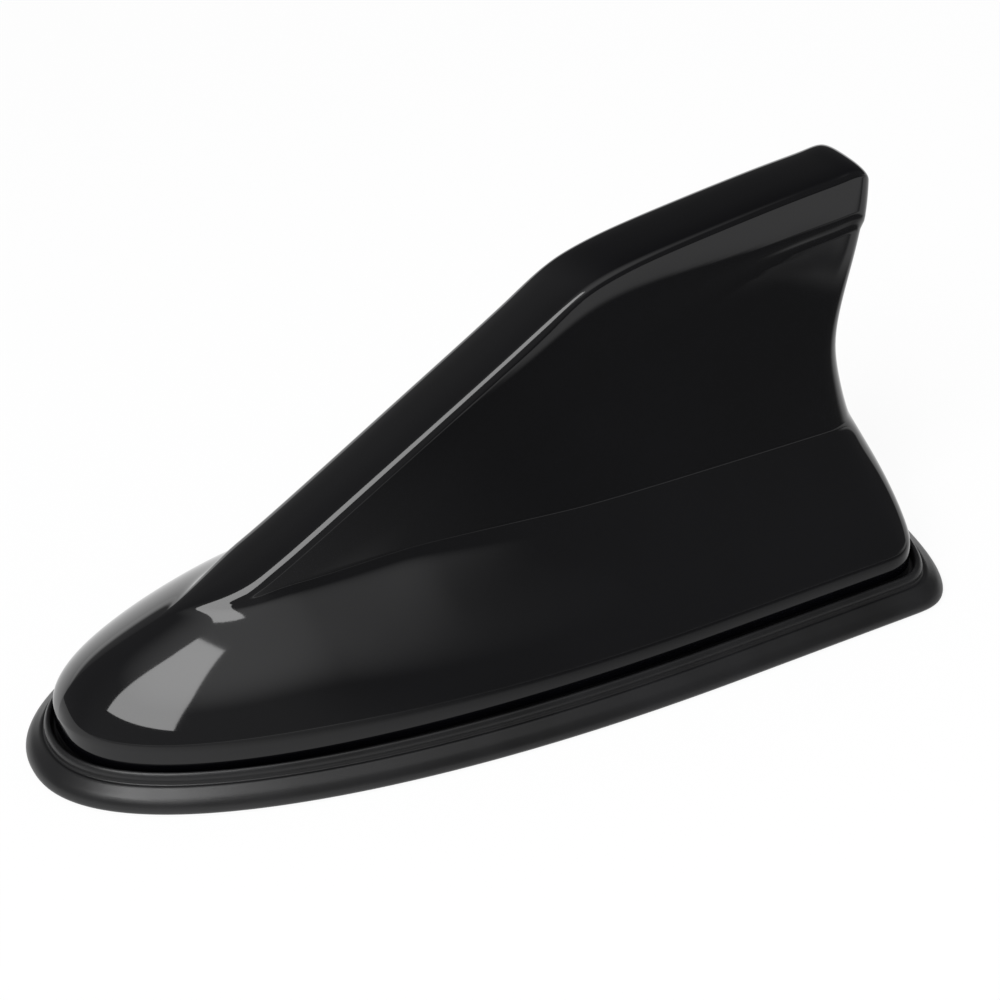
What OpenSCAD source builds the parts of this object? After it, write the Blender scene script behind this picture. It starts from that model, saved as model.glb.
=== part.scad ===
// Roof aerial of the shark fin kind: a hollow gloss cover with a rubber skirt,
// fixed by adhesive foam over the place of an old rod aerial. Nose towards -X.

/* [Cover] */
// Length of the cover along its bottom edge
cover_l = 156; // [150:0.5:166]
// Width of the cover across its bottom edge
cover_w = 63; // [60:0.5:70]
// Height of the fin tip above the roof
tip_z = 75.8; // [72:0.2:82]
// Wall thickness of the cover
wall = 2.2; // [1.6:0.1:2.6]
// Height of the upright belt at the foot of the cover
belt_h = 4.2; // [3:0.1:6]
// Height above the roof where the upright fin stands out of the low body
cheek_z = 28; // [25:0.5:31]
// Half the width of the band along the top of the fin
band_r = 6; // [5.4:0.1:6.4]
// Depth of the head rail under that band
rail_h = 9.5; // [8:0.5:12]
// Step from the head rail in to the side of the fin
rail_step = 0.8; // [0.3:0.1:1.2]
// How much the fin widens for each millimetre down
fin_flare = 0.16; // [0.13:0.01:0.2]

/* [Spine and tail] */
// Start of the straight ramp, from the nose along the cover
ramp_foot = 31; // [28:0.5:36]
// Height of the spine at the start of the ramp
ramp_foot_z = 27.2; // [26:0.2:29]
// End of the straight ramp, from the nose along the cover
ramp_top = 89.5; // [86:0.5:94]
// Height of the spine at the end of the ramp
ramp_top_z = 63.4; // [61:0.1:66]
// How far the neck of the tail lies in front of the foot of the tail
neck_in = 7.8; // [6.6:0.2:9]
// Height of the neck of the tail
neck_z = 43; // [39:0.5:47]
// Widest place of the cover, from the nose
wide_from_nose = 111.3; // [105:0.1:116]

/* [Skirt] */
// How far the rubber skirt stands out beyond the cover
skirt_out = 5.5; // [4.5:0.1:7]
// Height of the bead that runs round the foot of the cover
bead_z = 6.2; // [5.8:0.1:7]
// Open gap between the cover and the bead
bead_gap = 0.7; // [0.4:0.1:1]
// Thickness of the web clamped under the rim of the cover
web_t = 1.8; // [1.2:0.1:2.2]
// Width of the web, inwards from the face of the cover
web_w = 7; // [6.4:0.1:7.6]

/* [Base plate] */
// Thickness of the adhesive foam pad
pad_t = 1; // [0.6:0.1:1.6]
// Thickness of the flange under the web
flange_t = 1.6; // [1.2:0.1:2.2]
// Thickness of the floor of the plate
plate_t = 2.4; // [2:0.1:3]
// Length of the well for the stump of the old rod aerial
well_l = 44; // [38:0.5:46]
// Width of the well
well_w = 28; // [24:0.5:28]
// Depth of the well above the roof
well_h = 14; // [12:0.5:15]
// Wall and roof thickness of the well
well_t = 2.2; // [1.8:0.1:2.6]
// Middle of the well, from the nose along the cover
well_x = 55; // [53:0.5:56]

/* [Screws] */
// Core diameter of a cover screw
screw_d = 2.5; // [2:0.1:2.8]
// Head diameter of a cover screw
screw_head_d = 5; // [4.4:0.1:5.4]
// Height of a cover screw's head
screw_head_h = 1.6; // [1.2:0.1:1.8]
// Diameter of a screw boss in the cover
boss_d = 6.6; // [6:0.1:7]
// Depth that a cover screw goes into its boss
screw_grip = 9; // [7:0.5:10]
// Place of the front pair of cover screws, from the nose
front_screw_x = 25; // [24:0.5:27]
// How far the front pair stands from the middle
front_screw_y = 9; // [8.5:0.1:9.4]
// Place of the middle pair, from the nose
mid_screw_x = 85; // [84:0.5:87]
// How far the middle pair stands from the middle
mid_screw_y = 19.4; // [19.2:0.1:19.6]
// Distance of the rear pair in front of the tail
rear_screw_in = 15; // [14:0.5:16]
// How far the rear pair stands from the middle
rear_screw_y = 19; // [18.6:0.1:19.2]

/* [Mast bush] */
// Tapping bore of the threaded bush, M5
bush_bore_d = 4.2; // [3.4:0.1:5]
// Depth of the threaded bore
bush_bore_l = 11; // [8:0.5:12]
// Outside diameter of the bush's stem
bush_d = 8; // [7:0.2:9]
// Diameter of the bush's flange
bush_flange_d = 14; // [12:0.5:16]
// Thickness of the bush's flange
bush_flange_t = 3; // [2:0.2:4]
// Width of the nut across its flats
nut_af = 13; // [12:0.5:14]
// Height of the nut
nut_h = 4; // [3:0.5:5]

/* [Circuit board] */
// Length of the circuit board
board_l = 54; // [52:0.5:56]
// Width of the circuit board
board_w = 26; // [24:0.5:28]
// Thickness of the circuit board
board_t = 1.6; // [1:0.1:2]
// Height of the posts that carry the board above the plate's floor
post_h = 6; // [5:0.5:7]
// Core diameter of a board screw
board_screw_d = 1.9; // [1.6:0.1:2.2]

/* [Aerial coil] */
// Diameter of the rod that the coil is wound on
former_d = 6; // [5:0.1:6]
// Diameter of the coil's wire
wire_d = 0.9; // [0.6:0.1:1]
// Number of turns
turns = 10; // [8:1:12]
// Length of the top loading plate
top_plate_l = 30; // [24:1:32]
// Thickness of its sheet
sheet_t = 0.5; // [0.4:0.1:0.8]

/* [Hidden] */

// Clearances
fit = 0.1;
loose = 0.2;

// Levels above the roof, from the bottom up
flange_z = pad_t + flange_t;
rim_z = flange_z + web_t;
floor_z = pad_t + plate_t;
belt_z = bead_z - 0.4 + belt_h;
board_z = floor_z + post_h;
board_top = board_z + board_t;

// Ends and widest place of the cover
nose_x = -cover_l / 2;
tail_x = cover_l / 2;
wide_x = nose_x + wide_from_nose;
half_w = cover_w / 2 - 0.5;

// Shape of the plan: powers of its two rounded ends, and the reach of the rear corners
nose_power = 2.2;
corner_power = 3.5;
end_power = 2.2;
corner_low = 12;
corner_high = 4;

// Counts of facets: rows of a skin up the low body, and from there up the fin
stations = 48;
outer_low = 8;
outer_high = 10;
inner_low = 4;
inner_high = 6;
least_share = 0.0016;
rim_steps = 20;
corner_steps = 10;
$fn = 48;

function clamp(v, low, high) = min(max(v, low), high);
function mix(a, b, k) = a + (b - a) * k;
function ease(v) = let(k = clamp(v, 0, 1)) k * k * (3 - 2 * k);
function soft_max(a, b, k) = max(a, b) + (k > 0 ? pow(max(k - abs(a - b), 0), 2) / (4 * k) : 0);
function soft_min(a, b, k) = -soft_max(-a, -b, k);

// Point at t, from 0 to 1, of a cubic B-spline that starts and ends on its end points
function spline(c, t) =
    let(n = len(c), e = concat([2 * c[0] - c[1]], c, [2 * c[n - 1] - c[n - 2]]),
        s = t * (n - 1), k = min(floor(s), n - 2), u = s - k)
    (pow(1 - u, 3) * e[k] + (3 * pow(u, 3) - 6 * u * u + 4) * e[k + 1]
        + (-3 * pow(u, 3) + 3 * u * u + 3 * u + 1) * e[k + 2] + pow(u, 3) * e[k + 3]) / 6;

// Side view of the tail, as its distance in front of the tail's foot, at even heights
tail_depths = [0, 0, 0.61, 0.84, 1.06, 0.87, 0.55, 0.31, 0.33];

// Side view of the spine, as [x, z], from the belt at the nose over the tip to the tail
ramp_a = [nose_x + ramp_foot, ramp_foot_z];
ramp_b = [nose_x + ramp_top, ramp_top_z];
head = tail_x - ramp_b[0];
spine_points = [
    [nose_x, belt_z], [nose_x + 0.6, belt_z + 3.6], [nose_x + 5.6, mix(belt_z, ramp_foot_z, 0.5)],
    [nose_x + 16.5, mix(belt_z, ramp_foot_z, 0.74)], ramp_a, mix(ramp_a, ramp_b, 0.27),
    mix(ramp_a, ramp_b, 0.6), mix(ramp_a, ramp_b, 0.92), ramp_b + [0.055 * head, 3],
    [ramp_b[0] + 0.2 * head, tip_z - 6.3], [ramp_b[0] + 0.41 * head, tip_z - 4.2],
    [ramp_b[0] + 0.72 * head, tip_z - 1.5], [tail_x - 9.6, tip_z - 0.9], [tail_x - 5.7, tip_z + 0.1],
    [tail_x - 2.4, tip_z - 4.5], [tail_at(tip_z - 5.6, 0), tip_z - 5.6]];

// Distance of the tail at a height in front of its foot, and its place behind the nose
function tail_in(z) =
    let(t = clamp((z - belt_z) / (tip_z - belt_z), 0, 1),
        shift = t + (0.5 * (tip_z + belt_z) - neck_z) / (tip_z - belt_z) * 4 * t * (1 - t))
    spline(tail_depths, clamp(shift, 0, 1)) * neck_in;
function tail_at(z, inset) = tail_x - tail_in(z) - inset;

// Half width of the plan at x, without its rear corners
function plan_y(x, inset) =
    let(u = clamp((wide_x - x) / (wide_x - nose_x - inset), 0, 1))
    (half_w - inset) * pow(max(1 - pow(u, nose_power), 0), 1 / nose_power);

// Share of the width that is left at a distance in front of the tail
function corner(d, reach) =
    d >= reach ? 1 : pow(max(1 - pow(1 - max(d, 0) / reach, corner_power), 0), 1 / end_power);

// Height where the low body ends, below a spine at top
function crest_at(top, inset) = soft_min(top, cheek_z - 1.3 * inset, 5);

// Half width of the cover at share s from nose to tail and height z, where the spine is at top
function half_y(s, z, top, inset) =
    let(foot = belt_z - 0.41 * inset,
        tail = tail_at(z, inset), x = mix(nose_x + inset, tail, s),
        crest = crest_at(top, inset),
        q = clamp((z - foot) / max(crest - foot, 0.01), 0, 1),
        back = ease((x - nose_x - 18) / 75),
        cheek = plan_y(x, inset) * pow(max(1 - pow(q, mix(1.45, 1.25, back)), 0), 1 / mix(1.35, 1.12, back)),
        deep = max(top - z, 0), edge = 1 - min(deep / 2.8, 1),
        under = mix(14, 2.5, ease((x - nose_x - ramp_top - 5) / 45)),
        side = band_r - inset + fin_flare * deep - rail_step * ease((deep - rail_h + 0.4 * under) / under),
        fin = side * pow(max(1 - pow(edge, 2.6), 0), 1 / 2.6) * ease((x - nose_x - 12) / 24),
        soft = mix(8, 16, ease((x - nose_x - 30) / 60)),
        blend = soft * ease(deep / 10) * ease((z - foot) / 8) * (1 - ease((z - crest) / 14)),
        reach = mix(corner_low, corner_high, clamp((z - belt_z) / (tip_z - belt_z), 0, 1)) - inset / 2)
    soft_max(cheek, fin, blend) * corner(tail - x, reach);

// Spine point of station i of a skin that lies inset inside the outer one
function spine_at(i, inset) =
    let(t = i / stations, h = 0.002, a = spline(spine_points, max(t - h, 0)),
        b = spline(spine_points, min(t + h, 1)), d = (b - a) / norm(b - a),
        p = spline(spine_points, t) + inset * [d[1], -d[0]])
    [clamp(p[0], nose_x + inset, tail_at(p[1], inset)), max(p[1], belt_z - 0.41 * inset)];
function share_at(i, inset) =
    let(p = spine_at(i, inset), s = (p[0] - nose_x - inset) / (tail_at(p[1], inset) - nose_x - inset))
    i == 0 ? 0 : i == stations ? 1 : clamp(s, i * least_share, 1 - (stations - i) * least_share);

// Depth below the spine of row k of the rows up the fin, which are close together at its top
fin_depths = [0, 0.4, 1.2, 2.8, 5, rail_h - 1, rail_h + 1.5];
function fin_depth(k, high, reach) =
    let(n = floor(high / 2), near = lookup(6 * k / n, [for (i = [0:6]) [i, fin_depths[i]]]),
        last = min(fin_depths[6], reach * n / high))
    k <= n ? min(near, reach * k / high) : mix(last, reach, (k - n) / (high - n));

// Height of row j of a skin: row 0 is the rim, row 1 the top of the belt. The rows up the
// low body end where the fin's begin, always a little below the spine.
function row_z(j, low, high, top, inset) =
    let(foot = belt_z - 0.41 * inset, last = crest_at(mix(top, foot, 0.1), inset))
    j == 0 ? rim_z : j <= low ? foot + (last - foot) * sin(90 * (j - 1) / low)
        : top - fin_depth(low + high - j, high, top - last);

// Point of a skin at station i and row j
function skin_point(i, j, low, high, inset) =
    let(s = share_at(i, inset), top = spine_at(i, inset)[1], foot = belt_z - 0.41 * inset,
        z = i == 0 && j > 0 ? foot : row_z(j, low, high, top, inset),
        y = j == 0 ? half_y(s, foot, top, inset) + 0.5 : half_y(s, z, top, inset))
    [mix(nose_x + inset, tail_at(max(z, foot), inset), s),
        i == 0 || i == stations || j == low + high ? 0 : y, z];

function skin_points(low, high, inset) =
    [for (side = [1, -1]) for (i = [0:stations]) for (j = [0:low + high])
        let(p = skin_point(i, j, low, high, inset)) [p[0], side * p[1], p[2]]];
function skin_index(side, i, j, rows) =
    let(shared = i == 0 || i == stations || j == rows)
    (shared ? 0 : side) * (stations + 1) * (rows + 1) + i * (rows + 1) + (i == 0 ? min(j, 1) : j);
function whole(f) = f[0] != f[1] && f[1] != f[2] && f[0] != f[2];
function turned(f, flip) = flip ? [f[0], f[2], f[1]] : f;
function skin_faces(rows, base, flip) = [for (side = [0, 1]) for (i = [0:stations - 1]) for (j = [0:rows - 1])
    let(a = skin_index(side, i, j, rows), b = skin_index(side, i + 1, j, rows),
        c = skin_index(side, i + 1, j + 1, rows), d = skin_index(side, i, j + 1, rows))
    for (f = [[a, b, c], [a, c, d]]) if (whole(f))
        turned([f[0] + base, f[1] + base, f[2] + base], (side == 1) != flip)];
function rim_faces(rows_a, rows_b, base) = [for (side = [0, 1]) for (i = [0:stations - 1])
    let(a = skin_index(side, i, 0, rows_a), b = skin_index(side, i + 1, 0, rows_a),
        c = base + skin_index(side, i + 1, 0, rows_b), d = base + skin_index(side, i, 0, rows_b))
    for (f = [[a, c, b], [a, d, c]]) if (whole(f)) turned(f, side == 1)];

// Closed loop of the plan, inset inside the face of the cover at its rim
function rim_loop(inset) =
    let(w = half_w + 0.5 - inset, front = wide_x - nose_x - inset, reach = corner_low - inset / 2,
        nose = [for (k = [0:rim_steps]) let(a = 90 * k / rim_steps)
            [wide_x - front * pow(cos(a), 2 / nose_power), w * pow(sin(a), 2 / nose_power)]],
        rear = [for (k = [0:corner_steps]) let(a = 90 * k / corner_steps)
            [tail_x - inset - reach + reach * pow(sin(a), 2 / corner_power), w * pow(cos(a), 2 / end_power)]],
        half = concat(nose, rear))
    concat(half, [for (k = [len(half) - 2:-1:1]) [half[k][0], -half[k][1]]]);

// Places of the screws that hold the cover
screw_spots = [[nose_x + front_screw_x, front_screw_y], [nose_x + mid_screw_x, mid_screw_y],
    [tail_x - rear_screw_in, rear_screw_y]];
boss_places = [for (side = [-1, 1]) for (p = screw_spots) [p[0], side * p[1]]];
boss_z = rim_z + 1.2;
seat_z = boss_z - 2;
cup_d = screw_head_d + 3;

// Base plate: how far its flange and its floor lie inside the cover's face, and its fence
flange_in = wall + 0.8;
plate_in = web_w + loose;
fence_t = 1.5;
fence_z = boss_z;
roof_z = well_h + well_t;

// Bush and its stack, from the well up
well_mid = nose_x + well_x;
seal_t = 0.8;
washer_t = 1.2;
tag_t = 0.6;
bush_low = well_h - seal_t - bush_flange_t;
tag_z = roof_z + washer_t + tag_t;
stem_top = tag_z + nut_h + 2;

// Circuit board, its posts and what stands on it, from the well back
board_gap = 5;
board_front = well_mid + well_l / 2 + well_t + board_gap;
board_x = board_front + board_l / 2;
post_d = 6;
post_grip = 5;
post_places = [for (a = [-1, 1]) for (b = [-1, 1]) [board_x + a * (board_l / 2 - 3.6), b * (board_w / 2 - 3.6)]];
terminal_x = board_front + 2;
terminal_l = 8;
terminal_h = 6;
feed_z = board_top + 3;
can_room = 6;
part_room = 3.4;
can_x = terminal_x + terminal_l + can_room;
can_l = 13;
can_w = 14;
can_h = 4;
can_t = 0.4;
part_x = can_x + can_l + part_room;
part_y = 8.2;

// Feeder wire: its barrel on the terminal, and its route
feeder_d = 1.6;
barrel_d = feeder_d + 1.4;
barrel_l = 5;
barrel_x = well_mid + nut_af / 2 + 2;
wire_z = tag_z + barrel_d / 2 - 0.4;
feeder_points = [
    [barrel_x + 0.5, 0, wire_z], [barrel_x + 4, 0, wire_z], [barrel_x + 8, 0, wire_z],
    [mix(barrel_x + 5, terminal_x, 0.62), 0, mix(wire_z, feed_z, 0.5) + 1.2],
    [terminal_x - 3, 0, feed_z], [terminal_x + 1, 0, feed_z], [terminal_x + 4, 0, feed_z]];

// Height of the cavity's ceiling over a place in the plan
spine_table = [for (i = [0:stations]) [share_at(i, wall), spine_at(i, wall)[1]]];
function inside(x, y, z) =
    let(s = (x - nose_x - wall) / (tail_at(z, wall) - nose_x - wall), top = lookup(s, spine_table))
    s > 0 && s < 1 && z < top && half_y(s, z, top, wall) > abs(y);
function ceiling(x, y, low, high, n = 14) =
    n == 0 ? low : let(m = (low + high) / 2)
        inside(x, y, m) ? ceiling(x, y, m, high, n - 1) : ceiling(x, y, low, m, n - 1);
function ceiling_z(x, y) = ceiling(x, y, belt_z - 1, tip_z);

// Coil, its former and the top plate that follows the ceiling of the fin
coil_room = 12;
coil_x = can_x + can_l + coil_room;
former_foot_d = 11;
former_foot_h = 2;
former_neck_d = 3.6;
cut_l = 6;
plate_w = 2 * (band_r - wall) - 0.6;
plate_side = 7;
plate_x = coil_x - top_plate_l * 0.45;
neck_top = ceiling_z(plate_x, plate_w / 2) - sheet_t - 0.6;
coil_low = board_top + former_foot_h + 1.2;
coil_high = neck_top - 13;

module shell_skin() {
    outer = skin_points(outer_low, outer_high, 0);
    inner = skin_points(inner_low, inner_high, wall);
    outer_rows = outer_low + outer_high;
    inner_rows = inner_low + inner_high;
    polyhedron(concat(outer, inner), concat(skin_faces(outer_rows, 0, false),
        skin_faces(inner_rows, len(outer), true), rim_faces(outer_rows, inner_rows, len(outer))));
}

// Place of every boss top: the middle of the wall above it
function boss_top(p) = ceiling_z(p[0], p[1]) + wall * 0.4;

// A screw boss, sloped at its top to end inside the wall
module boss(p) {
    reach = boss_d / 2;
    outward = sign(p[1]);
    low = boss_top([p[0], p[1] + outward * reach]);
    high = boss_top([p[0], p[1] - outward * reach]);
    tilt = atan((high - low) / boss_d);
    difference() {
        translate([p[0], p[1], boss_z]) cylinder(d = boss_d, h = high - boss_z);
        translate([p[0], p[1] - outward * reach, high])
            rotate([-outward * tilt, 0, 0])
                translate([-boss_d, outward > 0 ? -boss_d : -3 * boss_d, 0])
                    cube([2 * boss_d, 4 * boss_d, 2 * boss_d]);
        translate([p[0], p[1], boss_z - 1]) cylinder(d = screw_d + fit, h = screw_grip + 1);
    }
}

// Gloss black moulded cover, open below, with its screw bosses
module fin_cover() {
    color("#0b0b0d") {
        shell_skin();
        for (p = boss_places) boss(p);
    }
}

// Section of the skirt as [distance out from the face of the cover, height]
web_in = -web_w;
foot_in = -flange_in + loose;
skirt_section = [
    [foot_in, 0], [skirt_out - 0.6, 0], [skirt_out - 0.1, 0.45], [skirt_out, 1.2], [skirt_out - 0.3, 2.1],
    [skirt_out - 1, 2.95], [skirt_out - 2.1, 3.7], [bead_gap + 2, bead_z - 2], [bead_gap + 1.5, bead_z - 2.1],
    [bead_gap + 1.3, bead_z - 1.7], [bead_gap + 1.35, bead_z - 0.8], [bead_gap + 0.95, bead_z - 0.15],
    [bead_gap + 0.55, bead_z], [bead_gap + 0.15, bead_z - 0.25], [bead_gap, bead_z - 0.8], [bead_gap, rim_z],
    [web_in, rim_z], [web_in, flange_z], [foot_in, flange_z]];

// Ring that sweeps a closed section, as [distance out, height], round the plan of the cover
module plan_ring(section) {
    m = len(section);
    loops = [for (q = section) [for (r = rim_loop(-q[0])) [r[0], r[1], q[1]]]];
    n = len(loops[0]);
    points = [for (l = loops) each l];
    polyhedron(points, [for (i = [0:m - 1]) for (j = [0:n - 1])
        let(a = i * n + j, b = i * n + (j + 1) % n, c = (i + 1) % m * n + (j + 1) % n, d = (i + 1) % m * n + j)
        each [[a, b, c], [a, c, d]]]);
}

// Moulded rubber skirt: foot, groove, bead and the web under the cover's rim
module base_gasket() {
    color("#1d1d1f") plan_ring(skirt_section);
}

module plan_plate(inset, low, high) {
    translate([0, 0, low]) linear_extrude(high - low) polygon(rim_loop(inset));
}

// Stadium outline of the well, grown by a distance
module well_shape(grow) {
    for (side = [-1, 1]) translate([well_mid + side * (well_l - well_w) / 2, 0]) circle(d = well_w + 2 * grow);
    translate([well_mid, 0]) square([well_l - well_w, well_w + 2 * grow], center = true);
}
module well_solid(grow, low, high) {
    translate([0, 0, low]) linear_extrude(high - low) well_shape(grow);
}

// Base plate with the well, the cups for the cover screws and the board posts
module base_plate() {
    color("#161618") difference() {
        union() {
            plan_plate(flange_in, pad_t, flange_z);
            plan_plate(plate_in, pad_t, floor_z);
            difference() {
                plan_plate(plate_in, pad_t, fence_z);
                plan_plate(plate_in + fence_t, floor_z, fence_z + 1);
            }
            well_solid(well_t, pad_t, roof_z);
            for (p = boss_places) translate([p[0], p[1], pad_t]) cylinder(d = cup_d, h = boss_z - pad_t);
            for (p = post_places) translate([p[0], p[1], pad_t]) cylinder(d = post_d, h = board_z - pad_t);
        }
        well_solid(0, 0, well_h);
        for (p = boss_places) translate([p[0], p[1], 0]) {
            cylinder(d = screw_head_d + 2 * loose, h = seat_z);
            cylinder(d = screw_d + 2 * loose, h = boss_z + 1);
        }
        for (p = post_places) translate([p[0], p[1], board_z - post_grip - 0.5])
            cylinder(d = board_screw_d + fit, h = post_grip + 1);
        translate([well_mid, 0, 0]) cylinder(d = bush_d + 2 * fit, h = roof_z + 1);
    }
}

// Die-cut adhesive foam pad under the plate
module adhesive_pad() {
    color("#2b2b2e") difference() {
        plan_plate(flange_in + 2 * loose, 0, pad_t);
        well_solid(0, -1, pad_t + 1);
    }
}

// A pan-head screw that points up or down from its seat
module pan_screw(d, length, head_d, head_h, down) {
    mirror([0, 0, down ? 1 : 0]) {
        cylinder(d = d, h = length - d / 2);
        translate([0, 0, length - d / 2]) cylinder(d1 = d, d2 = d / 4, h = d / 2);
        difference() {
            translate([0, 0, -head_h]) cylinder(d = head_d, h = head_h);
            for (a = [0, 90]) rotate(a) translate([-head_d * 0.28, -head_d * 0.06, -head_h - 1])
                cube([head_d * 0.56, head_d * 0.12, 1 + head_h * 0.6]);
        }
    }
}

// Six self-tapping screws that hold the cover to the plate, heads down in their cups
module cover_screws() {
    color("#8a8c8e") for (p = boss_places) translate([p[0], p[1], seat_z])
        pan_screw(screw_d, boss_z - seat_z + screw_grip - 0.8, screw_head_d, screw_head_h, false);
}

// Brass bush that screws onto the stud of the old rod aerial
module mast_bush() {
    color("#b08d4a") translate([well_mid, 0, 0]) difference() {
        union() {
            translate([0, 0, bush_low]) cylinder(d = bush_flange_d, h = bush_flange_t);
            translate([0, 0, bush_low]) cylinder(d = bush_d, h = stem_top - bush_low - 0.6);
            translate([0, 0, stem_top - 0.6]) cylinder(d1 = bush_d, d2 = bush_d - 1.2, h = 0.6);
        }
        translate([0, 0, bush_low - 1]) cylinder(d = bush_bore_d, h = bush_bore_l + 1);
        translate([0, 0, bush_low - 0.01]) cylinder(d1 = bush_bore_d + 1.2, d2 = bush_bore_d, h = 0.6);
    }
}

// A flat ring round the stem of the bush
module stem_ring(outer_d, low, high) {
    translate([well_mid, 0, low]) difference() {
        cylinder(d = outer_d, h = high - low);
        translate([0, 0, -1]) cylinder(d = bush_d + 2 * fit, h = high - low + 2);
    }
}
module bush_seal() {
    color("#202022") stem_ring(bush_flange_d, bush_low + bush_flange_t, well_h);
}
module bush_washer() {
    color("#9a9c9e") stem_ring(nut_af, roof_z, roof_z + washer_t);
}

// Brass ring terminal, with the barrel that takes the feeder wire
module ring_terminal() {
    color("#c2a15a") {
        stem_ring(nut_af, roof_z + washer_t, tag_z);
        difference() {
            translate([well_mid + nut_af / 2 - 1, -barrel_d / 2, tag_z - tag_t])
                cube([barrel_x - well_mid - nut_af / 2 + 2, barrel_d, tag_t]);
            translate([well_mid, 0, roof_z]) cylinder(d = bush_d + 2 * fit, h = 5);
        }
        difference() {
            translate([barrel_x, 0, wire_z]) rotate([0, 90, 0]) cylinder(d = barrel_d, h = barrel_l);
            translate([barrel_x - 1, 0, wire_z]) rotate([0, 90, 0]) cylinder(d = feeder_d + 2 * fit, h = barrel_l + 2);
        }
    }
}

// Hexagon nut that clamps the terminal
module bush_nut() {
    color("#b89752") translate([well_mid, 0, tag_z]) difference() {
        intersection() {
            cylinder(d = nut_af / cos(30), h = nut_h, $fn = 6);
            translate([0, 0, -nut_af / 2 + nut_h]) cylinder(d1 = 2.2 * nut_af, d2 = nut_af, h = nut_af / 2);
        }
        translate([0, 0, -1]) cylinder(d = bush_d + 2 * fit, h = nut_h + 2);
    }
}

// Tube swept along a list of points, with flat ends
module swept_wire(path, d, sides) {
    n = len(path);
    rings = [for (i = [0:n - 1])
        let(t = path[min(i + 1, n - 1)] - path[max(i - 1, 0)], f = t / norm(t),
            r = abs(f[2]) > 0.9 ? [1, 0, 0] : [0, 0, 1], u0 = cross(r, f), u = u0 / norm(u0), v = cross(f, u))
        [for (k = [0:sides - 1]) path[i] + d / 2 * (cos(360 * k / sides) * u + sin(360 * k / sides) * v)]];
    polyhedron([for (r = rings) each r], concat(
        [for (i = [0:n - 2]) for (k = [0:sides - 1])
            let(a = i * sides + k, b = i * sides + (k + 1) % sides)
            each [[a, a + sides, b + sides], [a, b + sides, b]]],
        [[for (k = [0:sides - 1]) k], [for (k = [sides - 1:-1:0]) (n - 1) * sides + k]]));
}

// Feeder wire from the terminal's barrel to the board's terminal block
module feeder_wire() {
    color("#7a1f1f") swept_wire([for (i = [0:12]) spline(feeder_points, i / 12)], feeder_d, 8);
}

// Circuit board on its four posts
module circuit_board() {
    color("#1f4d2b") translate([board_x, 0, board_z]) difference() {
        linear_extrude(board_t) difference() {
            union() {
                square([board_l, board_w - 4], center = true);
                square([board_l - 4, board_w], center = true);
                for (a = [-1, 1]) for (b = [-1, 1]) translate([a * (board_l / 2 - 2), b * (board_w / 2 - 2)]) circle(2);
            }
            for (p = post_places) translate([p[0] - board_x, p[1]]) circle(d = board_screw_d + 2 * loose);
        }
    }
}
module board_screws() {
    color("#a8aaac") for (p = post_places) translate([p[0], p[1], board_top])
        pan_screw(board_screw_d, board_t + post_grip - 0.6, 3.6, 1.2, true);
}

// Terminal block on the board that takes the feeder wire
module board_terminal() {
    color("#25566b") difference() {
        translate([terminal_x, -4, board_top]) cube([terminal_l, 8, terminal_h]);
        translate([terminal_x - 1, 0, feed_z]) rotate([0, 90, 0]) cylinder(d = feeder_d + 2 * fit, h = 5.2);
        translate([terminal_x + 3, 0, feed_z + feeder_d / 2 + 0.6]) cylinder(d = 3, h = terminal_h);
    }
}

// Folded sheet can over the amplifier
module shield_can() {
    color("#b9bcbf") difference() {
        translate([can_x, -can_w / 2, board_top]) cube([can_l, can_w, can_h]);
        translate([can_x + can_t, -can_w / 2 + can_t, board_top - 1])
            cube([can_l - 2 * can_t, can_w - 2 * can_t, can_h - can_t + 1]);
        for (k = [1:3]) translate([can_x + k * can_l / 4, 0, board_top]) cylinder(d = 1.4, h = can_h + 1);
    }
}

// Small-outline amplifier chip with its legs
module amplifier_chip() {
    mid = can_x + can_l / 2;
    color("#17171a") {
        translate([mid - 2.5, -2, board_top + 0.2]) cube([5, 4, 1.4]);
        for (k = [-1.5:1.5]) for (side = [-1, 1]) translate([mid + k * 1.2 - 0.2, side > 0 ? 2 : -3, board_top])
            cube([0.4, 1, 0.6]);
    }
}

// Three can capacitors
module tuning_capacitors() {
    color("#9fb3c4") for (p = [[can_x - 3, part_y], [can_x - 3, -part_y], [part_x, -part_y]])
        translate([p[0], p[1], board_top]) {
            cylinder(d = 4, h = 4.6);
            translate([0, 0, 4.6]) cylinder(d1 = 4, d2 = 3.2, h = 0.4);
        }
}

// Drum core of the choke and its winding
module choke_core() {
    color("#4a4a4c") translate([part_x, part_y, board_top]) rotate_extrude()
        polygon([[0, 0], [2.8, 0], [2.8, 1], [1.4, 1], [1.4, 4], [2.8, 4], [2.8, 5], [0, 5]]);
}
module choke_winding() {
    color("#a4562c") translate([part_x, part_y, board_top]) rotate_extrude()
        polygon([[1.4 + fit, 1], [2.4, 1], [2.6, 1.5], [2.6, 3.5], [2.4, 4], [1.4 + fit, 4]]);
}

// Moulded rod for the coil, from the board up to the top plate
module coil_former() {
    color("#c9c4b4") translate([coil_x, 0, 0]) difference() {
        union() {
            translate([0, 0, board_top]) cylinder(d = former_foot_d, h = former_foot_h);
            translate([0, 0, board_top]) cylinder(d = former_d, h = neck_top - 10 - board_top);
            translate([0, 0, board_top]) cylinder(d = former_neck_d, h = neck_top - board_top);
        }
        translate([0, 0, neck_top - cut_l]) cylinder(d = 1.5 + fit, h = cut_l + 1);
    }
}

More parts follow.
